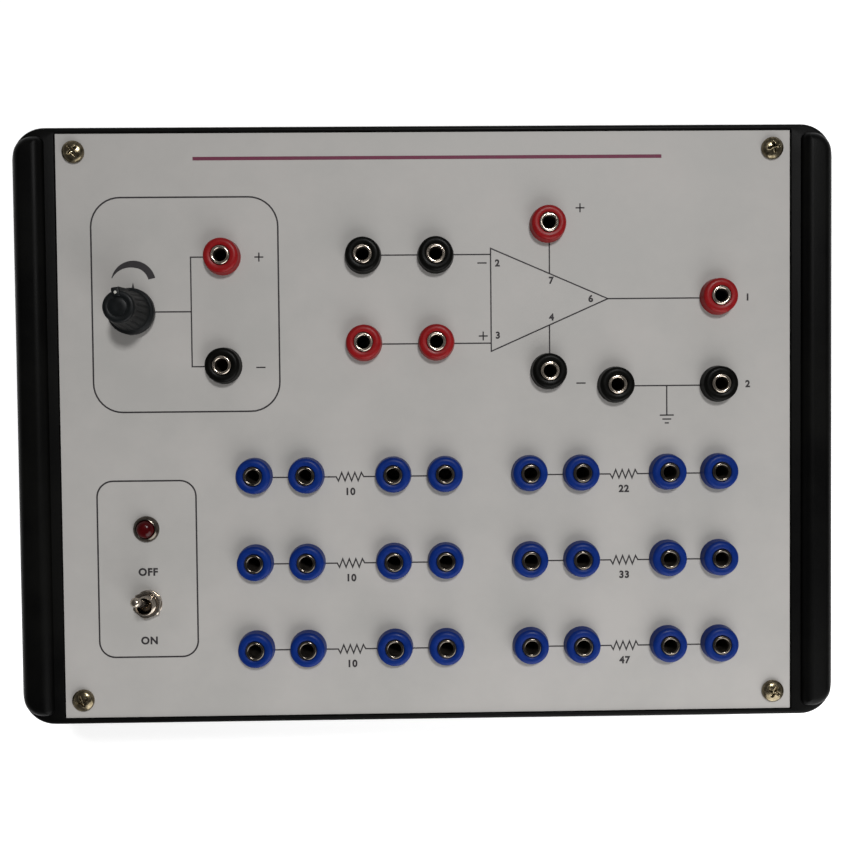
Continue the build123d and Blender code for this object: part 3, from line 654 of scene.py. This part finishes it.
def bank_lines():
    """Lines between the blue sockets, with a zigzag for each resistor."""
    hide = under_cap()
    line_drop, reach, teeth_reach, teeth, swing = 0.55, 4.3, 3.6, 8, 1.3
    lines = []
    for start in BLUE_NAMES:
        rows, columns, middle = bank_grid(start)
        for row in rows:
            y = row - line_drop
            lines += [across(columns[left] + hide, columns[left + 1] - hide, y) for left in (0, 2)]
            zigzag = [(columns[1] + hide, y), (middle - reach, y)]
            for step in range(teeth):
                x = middle - teeth_reach + 2 * teeth_reach * step / (teeth - 1)
                zigzag.append((x, y + (swing if step % 2 else -swing)))
            lines.append(zigzag + [(middle + reach, y), (columns[2] - hide, y)])
    return lines


def field_outline(left, right, bottom, top, radius):
    """Outline of a bordered field with round corners."""
    middle = ((left + right) / 2, (bottom + top) / 2)
    points = oblong((right - left) / 2, (top - bottom) / 2, radius, 0.0, steps=10, middle=middle)
    return [(x, y) for x, y, _ in points]


def sweep_mark():
    """Curved wedge over the knob that grows to the right."""
    middle = Vector((-90.9, 44.9))
    outside, thin_inside, growth = 6.95, 6.75, 2.0
    start, span = 167, 154
    edges = []
    for share in shares(33):
        angle = radians(start - span * share)
        way = Vector((cos(angle), sin(angle)))
        inside = thin_inside - growth * sin(pi / 2 * min(1.0, 1.7 * share))
        edges.append(((middle + outside * way) * MM, (middle + inside * way) * MM))
    return ribbon(edges)


def tick_mark():
    """Small pointed mark at the middle of the knob's travel."""
    prints = bpy.context.scene.trainer_print
    corners = [(-91.05, 45.1), (-91.8, 42.0), (-90.3, 42.0)]
    return loft([
        [(x * MM, y * MM, PANEL_TOP + side * prints.ink_thickness) for x, y in corners] for side in (-1, 1)
    ])


def figures(prints):
    """Plain figures at the pins and resistors, and the two words at the switch."""
    small, word = prints.figure_height, prints.word_height
    signs = [("2", 22.4, 50.2, small), ("3", 22.4, 27.7, small), ("7", 39.2, 44.7, small),
             ("4", 39.3, 33.2, small), ("6", 51.6, 38.9, small), ("1", 101.0, 39.0, small),
             ("2", 101.0, 11.8, small), ("OFF", -87.9, -45.4, word), ("ON", -87.8, -67.0, word)]
    below_row = 5.3
    for start, values in zip(BLUE_NAMES, (("10", "10", "10"), ("22", "33", "47"))):
        rows, _, middle = bank_grid(start)
        signs += [(value, middle, row - below_row, prints.value_height)
                  for value, row in zip(values, reversed(rows))]
    meshes = [lettering(text, height) for text, _, _, height in signs]
    return merge(meshes, [at(x * MM, y * MM) for _, x, y, _ in signs])


def lettering(text, height):
    """Closed mesh of a short word in the built-in plain face, centred, of a given height."""
    capital_share, boldness, spacing = 0.72, 0.06, 1.12
    curve = bpy.data.curves.new("lettering", "FONT")
    curve.body = text
    curve.size = height / capital_share
    curve.align_x = "CENTER"
    curve.align_y = "CENTER"
    curve.offset = boldness * height
    curve.space_character = spacing
    curve.extrude = bpy.context.scene.trainer_print.ink_thickness
    curve.resolution_u = 6
    holder = linked("lettering", curve)
    mesh = bpy.data.meshes.new_from_object(holder.evaluated_get(bpy.context.evaluated_depsgraph_get()))
    bpy.data.objects.remove(holder)
    return mended(mesh, weld=0.001 * MM)


class TRAINER_OT_print(bpy.types.Operator):
    """Print the circuit, the borders, the figures and the rule on the panel"""
    bl_idname = "trainer.print"
    bl_label = "Printed circuit"

    def execute(self, context):
        prints = context.scene.trainer_print
        thin, thick = prints.line_width / MM, prints.border_width / MM
        strokes = [stroke(points, thin) for points in circuit_lines() + bank_lines()]
        strokes.append(stroke(AMPLIFIER, thin, closed=True))
        strokes += [stroke(field_outline(*edges), thick, closed=True) for edges in FIELDS]
        strokes += [sweep_mark(), tick_mark()]
        piece("printed_circuit", merge(strokes), ["ink"])
        rule_y, rule_width = 83.2, 1.1
        rule = stroke(across(-72.0, 74.0, rule_y), rule_width)
        piece("printed_rule", rule, ["rule_ink"])
        piece("printed_figures", figures(prints), ["ink"])
        return {"FINISHED"}


def at_sockets(mesh, start):
    """Copies of a mesh at the sockets whose names start with one of some words."""
    places = mount_places(start)
    return merge([mesh] * len(places), [at(*place) for place in places])


def near_any(point, centres, reach):
    """Whether a point of the panel lies within reach of a centre."""
    return any((point.xy - centre).length < reach for centre in centres)


def cap_mesh(sockets):
    """Cap with a rounded top edge and a narrow gap round the rim."""
    base, crown = sockets.cap_radius / MM, sockets.crown_radius / MM
    rim, top = sockets.rim_radius / MM, sockets.cap_height / MM
    round_in, round_down = 1.3, 1.0
    profile = [(rim - 0.05, 0.0), (base, 0.0), (base, 0.3), (base - 0.08, 0.7)]
    for angle in arc(9):
        profile.append((crown - round_in * (1 - cos(angle)), top - round_down * (1 - sin(angle))))
    profile += [(rim + 0.3, top - 0.02), (rim + 0.16, top - 0.1), (rim + 0.1, top - 0.5), (rim - 0.05, top - 0.55)]
    return turned(profile, closed=True, count=72)


def barrel_mesh(sockets):
    """Turned barrel with a rounded lip and a deep bore."""
    low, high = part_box("socket_barrels")
    top, bottom = (high.z - PANEL_TOP) / MM, (low.z - PANEL_TOP) / MM
    rim, bore = sockets.rim_radius / MM, sockets.bore_radius / MM
    middle = (rim - 0.05 + bore) / 2
    half = middle - bore
    lip_height, plug_depth = 0.42, 20.0
    profile = [(rim - 0.1, bottom), (rim - 0.1, top - 0.7)]
    for angle in arc(13, pi):
        profile.append((middle + half * cos(angle), top - lip_height * (1 - sin(angle))))
    profile += [(bore, top - 2.0), (bore, top - plug_depth)]
    return turned(profile, count=56)


class TRAINER_OT_sockets(bpy.types.Operator):
    """Fit the coloured caps and the plated barrels of the sockets"""
    bl_idname = "trainer.sockets"
    bl_label = "Sockets"

    def execute(self, context):
        sockets = context.scene.trainer_sockets
        cap = cap_mesh(sockets)
        for name, start in (("red", RED_NAMES), ("black", BLACK_NAMES), ("blue", BLUE_NAMES)):
            caps = at_sockets(cap, start)
            piece(f"{name}_caps", caps, [f"{name}_cap"], [f"{name}_socket_caps"], smooth=30.0)
        barrels = at_sockets(barrel_mesh(sockets), ALL_NAMES)
        made = piece("plated_barrels", barrels, ["nickel", "bore", "painted_dark_nickel"], ["socket_barrels"], smooth=30.0)
        # Faces deep in the bores take the darker bore plate: painted shade of their depth
        bore_shade_start = PANEL_TOP + sockets.cap_height - 0.3 * MM
        centres, blue = mount_places(ALL_NAMES), mount_places(BLUE_NAMES)
        for face in made.data.polygons:
            if face.center.z < bore_shade_start and near_any(face.center, centres, sockets.bore_radius * 1.02):
                face.material_index = 1
            # Rims in the blue caps take the darker copy of the plate: painted shade for their dark reflections
            elif near_any(face.center, blue, sockets.rim_radius):
                face.material_index = 2
        return {"FINISHED"}


def knob_body(controls):
    """Skirt, fluted taper and stepped top, hollow below for the nut and the shaft."""
    hollow = [(3.06, 12.35), (3.06, 4.1), (3.9, 4.1), (3.9, 1.6), (5.6, 1.6), (5.6, 0.0)]
    skirt = [(6.9, 0.0), (7.12, 0.12), (7.2, 0.35), (7.2, 2.0), (7.1, 2.3), (6.85, 2.5), (6.55, 2.6),
             (6.32, 2.75), (6.2, 3.05)]
    points_a_flute = 12
    count = controls.flutes * points_a_flute
    rings = [circle(radius, height, count) for radius, height in hollow + skirt]
    taper_foot, taper_height, foot_radius, draft = 3.3, 9.7, 6.16, 1.26
    for share in shares(13):
        height = taper_foot + taper_height * share
        radius = foot_radius - draft * share
        fading = min(1.0, 0.08 + share * 3, (1.02 - share) * 4)
        depth = controls.flute_depth / MM * sin(pi * fading / 2)
        rings.append(fluted_ring(radius, height, depth, controls.flutes, count))
    top = [(4.84, 13.3), (4.72, 13.62), (4.5, 13.86), (4.2, 13.97), (3.2, KNOB_HEIGHT), (3.02, 13.9),
           (2.96, 13.7), (2.7, 13.7), (2.64, 13.9), (2.5, 13.98), (1.2, KNOB_HEIGHT), (0.3, KNOB_HEIGHT)]
    rings += [circle(radius, height, count) for radius, height in top]
    return loft(rings)


def fluted_ring(radius, height, depth, flutes, count):
    """Ring with narrow grooves cut into it."""
    narrowness = 3

    def reach(angle):
        return radius - depth * (0.5 + 0.5 * cos(flutes * angle)) ** narrowness

    return ring(reach, height, count)


def knob_pointer():
    """Fin on one side, from the skirt to just over the top."""
    skirt_height, foot_reach, top_reach, near, half_width, corner = 2.6, 6.7, 5.8, 2.9, 1.3, 0.45
    rings = []
    for height, inset in ((2.7, 0.0), (13.5, 0.0), (14.02, 0.08), (14.24, 0.25), (14.32, 0.5)):
        share = (height - skirt_height) / (POINTER_TOP - skirt_height)
        reach = foot_reach - (foot_reach - top_reach) * share
        half = (reach - near) / 2 - inset
        rings.append(oblong((half_width - inset) * MM, half * MM, corner * MM, height * MM, steps=5,
                            middle=(0.0, (near + reach) / 2 * MM)))
    return loft(rings)


class TRAINER_OT_knob(bpy.types.Operator):
    """Mould the fluted knob with its pointer and white dot"""
    bl_idname = "trainer.knob"
    bl_label = "Control knob"

    def execute(self, context):
        controls = context.scene.trainer_controls
        centre = joint_place("knob_turn")
        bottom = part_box("control_knob")[0].z
        place = at(centre.x, centre.y, bottom, controls.pointer_turn)
        knob = merge([knob_body(controls), knob_pointer()])
        piece("fluted_knob", knob, ["knob_plastic"], ["control_knob"], body=KNOB, smooth=32.0, place=place)
        dot = turned([(0.42, -0.3), (0.46, -0.05), (0.4, -0.02), (0.2, 0.0)], count=32)
        dot_reach = 4.2
        spot = place @ Matrix.Translation((0.0, dot_reach * MM, POINTER_TOP * MM))
        piece("pointer_dot", dot, ["white_inlay"], ["knob_dot"], body=KNOB, place=spot)
        return {"FINISHED"}


def neck_mesh(controls):
    """Neck with turned thread grooves and a plain bore."""
    top = 5.2
    pitch = controls.thread_pitch / MM
    profile = [(2.42, top - 0.15), (2.42, -2.5), (2.75, -2.5)]
    height = -2.3
    while height < top - 0.9:
        profile += [(2.97, height), (2.97, height + 0.12 * pitch), (2.72, height + 0.5 * pitch),
                    (2.72, height + 0.62 * pitch)]
        height += pitch
    profile += [(2.9, top - 0.45), (2.8, top - 0.12), (2.68, top), (2.52, top)]
    return turned(profile, closed=True, count=56)


def nut_mesh(half_flats, hole, low, high):
    """Hexagon nut with its corners turned away at both faces."""
    count, edge, chamfer = 72, 0.22, 0.25

    def reach(angle):
        return min(half_flats / cos(angle % (pi / 3) - pi / 6), limit)

    rings = []
    for height, limit in ((low, 4.25), (low + edge, 4.6), (high - edge, 4.6), (high, 4.2)):
        rings.append(ring(reach, height, count))
    bore = ((hole + chamfer, high), (hole, high - chamfer), (hole, low))
    rings += [circle(radius, height, count) for radius, height in bore]
    return loft(rings, closed=True)


class TRAINER_OT_switch(bpy.types.Operator):
    """Fit the toggle switch with its nut, washer, threaded neck and bat lever"""
    bl_idname = "trainer.switch"
    bl_label = "Toggle switch"

    def execute(self, context):
        controls = context.scene.trainer_controls
        pivot = joint_place("switch_toggle")
        place = at(pivot.x, pivot.y)
        piece("threaded_neck", neck_mesh(controls), ["nickel"], ["switch_neck"], smooth=25.0, place=place)
        washer_top, nut_top = 0.4, 2.4
        washer = turned([(3.05, 0.0), (4.2, 0.0), (4.3, 0.1), (4.3, 0.3), (4.2, washer_top), (3.05, washer_top)],
                        closed=True, count=64)
        piece("plated_washer", washer, ["nickel"], ["switch_washer"], smooth=25.0, place=place)
        nut = nut_mesh(4.0, 3.02, washer_top, nut_top)
        turn = Matrix.Rotation(radians(20), 4, "Z")
        piece("hexagon_nut", nut, ["nickel"], ["switch_nut"], smooth=25.0, place=place @ turn)
        pin = turned([(0.45, -2.66), (0.6, -2.5), (0.6, 2.5), (0.45, 2.66)], count=32)
        level = Matrix.Translation(pivot) @ Matrix.Rotation(pi / 2, 4, "Y")
        piece("pivot_pin", pin, ["steel"], ["switch_pin"], place=level)
        profile = [(0.6, -8.0), (0.7, -7.8), (0.7, -1.5), (1.5, -1.25), (1.9, -0.8), (2.08, -0.3), (2.1, 0.2),
                   (1.98, 0.75), (1.7, 1.15), (1.3, 1.5), (1.08, 2.0), (1.06, 2.8), (1.2, 6.2), (1.38, 9.9),
                   (1.48, 11.4), (1.47, 11.8), (1.34, 12.15), (1.08, 12.42), (0.7, 12.56), (0.25, 12.6)]
        lean = Matrix.Translation(pivot) @ Matrix.Rotation(-controls.lever_tilt, 4, "X")
        lever = turned(profile, count=40)
        piece("bat_lever", lever, ["nickel"], ["switch_lever"], body=LEVER, smooth=40.0, place=lean)
        return {"FINISHED"}


class TRAINER_OT_lamp(bpy.types.Operator):
    """Fit the unlit red lamp in its plated bezel"""
    bl_idname = "trainer.lamp"
    bl_label = "Lamp"

    def execute(self, context):
        low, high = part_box("lamp_bezel")
        place = at(*((low + high) / 2).xy)
        bottom = (low.z - PANEL_TOP) / MM
        bezel = [(2.8, bottom), (3.15, bottom), (3.15, 0.0), (4.08, 0.0), (4.1, 0.28), (4.02, 0.62), (3.8, 1.0),
                 (3.5, 1.32), (3.25, 1.52), (3.05, 1.58), (2.9, 1.5), (2.82, 1.2), (2.8, 0.9)]
        mesh = turned(bezel, closed=True, count=64)
        # The bezel takes the darker copy of the plate: painted shade for the dark reflections of its cone
        piece("plated_bezel", mesh, ["painted_dark_nickel"], ["lamp_bezel"], smooth=40.0, place=place)
        dome = [(2.35, -8.4), (2.5, -8.2), (2.5, -0.2), (2.76, 0.0), (2.76, 1.2), (2.7, 1.7), (2.5, 2.2), (2.2, 2.6),
                (1.75, 2.9), (1.2, 3.1), (0.6, 3.18), (0.2, 3.2)]
        piece("lamp_dome", turned(dome, count=56), ["red_lens"], ["lamp_lens"], smooth=40.0, place=place)
        return {"FINISHED"}


class TRAINER_OT_rubber(bpy.types.Operator):
    """Press in the cord's bush and the four feet"""
    bl_idname = "trainer.rubber"
    bl_label = "Cord bush and feet"

    def execute(self, context):
        low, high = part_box("cord_bush")
        half = (high.x - low.x) / 2 / MM
        deep = (high.y - low.y) / MM
        bore = next(mount for mount in frame["record"]["mounts"] if mount["name"] == "cord_entry")["dims"]["r_mm"]
        flange = 1.8
        outline = [(half - 0.35, 0.0), (half, 0.3), (half, flange), (half - 2.0, flange), (half - 2.0, deep - flange),
                   (half, deep - flange), (half, deep - 0.3), (half - 0.35, deep)]
        throat = [(bore + 0.3, deep), (bore, deep - 0.3), (bore, 0.7), (bore + 0.5, 0.1), (bore + 1.0, 0.0),
                  (bore + 1.3, 0.4), (bore + 1.9, 0.4), (bore + 2.1, 0.0)]
        rings = [oblong(reach * MM, reach * MM, 0.6 * MM, height * MM) for reach, height in outline]
        rings += [oblong(reach * MM, reach * MM, reach * MM, height * MM) for reach, height in throat]
        middle = (low + high) / 2
        back = Matrix.Translation((middle.x, high.y, middle.z)) @ Matrix.Rotation(pi / 2, 4, "X")
        bush = loft(rings, closed=True)
        piece("moulded_cord_bush", bush, ["foot_rubber"], ["cord_bush"], smooth=30.0, place=back)
        low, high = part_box("rubber_feet")
        top = (high.z - low.z) / MM
        profile = ((6.4, 0.0, 2.2), (6.85, 0.15, 2.6), (7.0, 0.6, 2.8), (7.85, top - 0.9, 3.0), (8.0, top - 0.4, 3.0),
                   (8.0, top, 3.0))
        foot = loft([oblong(reach * MM, reach * MM, radius * MM, height * MM) for reach, height, radius in profile])
        half = 8.0 * MM
        places = [(x, y) for x in (low.x + half, high.x - half) for y in (low.y + half, high.y - half)]
        feet = merge([foot] * len(places), [at(x, y, low.z) for x, y in places])
        piece("moulded_feet", feet, ["foot_rubber"], ["rubber_feet"], smooth=30.0)
        return {"FINISHED"}


def lay_floor(stage):
    """Matt white floor; what the camera sees of it is lifted to white, under the object's own shadow."""
    material = bpy.data.materials.new("painted_floor_white")
    material.use_nodes = True
    tree = material.node_tree
    shader = tree.nodes["Principled BSDF"]
    shader.inputs["Roughness"].default_value = 0.9
    place = add(tree, "ShaderNodeTexCoord").outputs["Object"]
    clouds = add(tree, "ShaderNodeTexNoise", {"Scale": 6.0, "Detail": 3.0}, {"Vector": place})
    whites = graded(tree, clouds.outputs["Fac"], ((0.0, (0.76,) * 3), (1.0, (0.8,) * 3)))
    tree.links.new(whites, shader.inputs["Base Color"])
    rays = add(tree, "ShaderNodeLightPath")
    seen = rays.outputs["Is Camera Ray"]
    for kind in ("Is Glossy Ray", "Is Transmission Ray"):
        seen = add(tree, "ShaderNodeMath", {"operation": "MAXIMUM"}, {0: seen, 1: rays.outputs[kind]}).outputs[0]
    lift = add(tree, "ShaderNodeMath", {"operation": "MULTIPLY", 1: stage.floor_white}, {0: seen})
    glow = add(tree, "ShaderNodeEmission", {"Color": (1.0, 1.0, 1.0, 1.0)}, {"Strength": lift.outputs[0]})
    both = add(tree, "ShaderNodeAddShader", links={0: shader.outputs[0], 1: glow.outputs[0]})
    tree.links.new(both.outputs[0], tree.nodes["Material Output"].inputs["Surface"])
    mesh = bpy.data.meshes.new("floor")
    reach = 9.0
    mesh.from_pydata([(-reach, -reach, 0), (reach, -reach, 0), (reach, reach, 0), (-reach, reach, 0)], [],
                     [(0, 1, 2, 3)])
    mesh.materials.append(material)
    floor = linked("floor", mesh)


def light_room(scene):
    """Pale room, lighter at the horizon than overhead, which gives the plated rims their shades."""
    world = bpy.data.worlds.new("pale_room")
    world.use_nodes = True
    scene.world = world
    tree = world.node_tree
    way = add(tree, "ShaderNodeTexCoord").outputs["Generated"]
    parts = add(tree, "ShaderNodeSeparateXYZ", links={0: way})
    stops = ((0.0, 0.48), (0.25, 0.34), (0.7, 0.11), (1.0, 0.085))
    sky = graded(tree, parts.outputs["Z"], [(height, (level,) * 3) for height, level in stops])
    tree.links.new(sky, tree.nodes["Background"].inputs["Color"])


def hang_lamp(name, power, place):
    """Square soft lamp, half a metre wide, aimed at the middle of the panel."""
    light = bpy.data.lights.new(name, "AREA")
    light.shape = "SQUARE"
    light.size = 0.5
    light.energy = power
    aim = Vector((0.0, 0.0, PANEL_TOP)) - place
    hang(name, light, place, aim.to_track_quat("-Z", "Y"))


def hang(name, data, place, turn):
    """Puts a lamp or the camera at a place, turned by a quaternion."""
    holder = linked(name, data)
    holder.location = place
    holder.rotation_mode = "QUATERNION"
    holder.rotation_quaternion = turn
    return holder


def hang_camera(stage):
    """Camera over the panel, where the screws and sockets of the picture put it."""
    picture = 850
    principal = (431.8, 444.0)
    sensor = 36.0
    camera = bpy.data.cameras.new("overhead")
    camera.sensor_width = sensor
    camera.sensor_fit = "HORIZONTAL"
    camera.lens = stage.focal_pixels / picture * sensor
    camera.shift_x = (picture / 2 - principal[0]) / picture
    camera.shift_y = (principal[1] - picture / 2) / picture
    place = (-0.0030, 0.0014, PANEL_TOP + 0.2936)
    turn = Vector([radians(part) for part in (-1.45, -0.86, -0.57)])
    return hang("overhead", camera, place, Quaternion(turn.normalized(), turn.length))


class TRAINER_OT_stage(bpy.types.Operator):
    """Lay the pale floor, and place the soft light and the camera"""
    bl_idname = "trainer.stage"
    bl_label = "Floor, light and camera"

    def execute(self, context):
        stage = context.scene.trainer_stage
        lay_floor(stage)
        light_room(context.scene)
        key_place = Vector((0.56, 1.49, PANEL_TOP + 3.31))
        fill_place = Vector((0.17, -0.41, PANEL_TOP + 0.23))
        hang_lamp("soft_key", stage.key_power, key_place)
        hang_lamp("soft_fill", stage.fill_power, fill_place)
        context.scene.camera = hang_camera(stage)
        context.scene.view_settings.view_transform = "Standard"
        return {"FINISHED"}


class TRAINER_PT_sidebar(bpy.types.Panel):
    """Lists the steps that build the trainer"""
    bl_idname = "TRAINER_PT_sidebar"
    bl_label = "Amplifier Trainer"
    bl_space_type = "VIEW_3D"
    bl_region_type = "UI"
    bl_category = "Trainer"

    def draw(self, context):
        for name in SETTINGS:
            box = self.layout.box()
            group = getattr(context.scene, name)
            for key in group.bl_rna.properties.keys():
                if key not in ("rna_type", "name"):
                    box.prop(group, key)
        for step in STEPS:
            self.layout.operator(step.bl_idname)


STEPS = (
    TRAINER_OT_inner_parts,
    TRAINER_OT_case,
    TRAINER_OT_screws,
    TRAINER_OT_print,
    TRAINER_OT_sockets,
    TRAINER_OT_knob,
    TRAINER_OT_switch,
    TRAINER_OT_lamp,
    TRAINER_OT_rubber,
    TRAINER_OT_stage,
)


CLASSES = (*SETTINGS.values(), *STEPS, TRAINER_PT_sidebar)


def register():
    for one in CLASSES:
        bpy.utils.register_class(one)
    for name, group in SETTINGS.items():
        setattr(bpy.types.Scene, name, PointerProperty(type=group))


def unregister():
    for name in SETTINGS:
        delattr(bpy.types.Scene, name)
    for one in reversed(CLASSES):
        bpy.utils.unregister_class(one)


def main():
    register()
    for step in STEPS:
        getattr(bpy.ops.trainer, step.bl_idname.split(".")[1])()


if __name__ == "__main__":
    main()
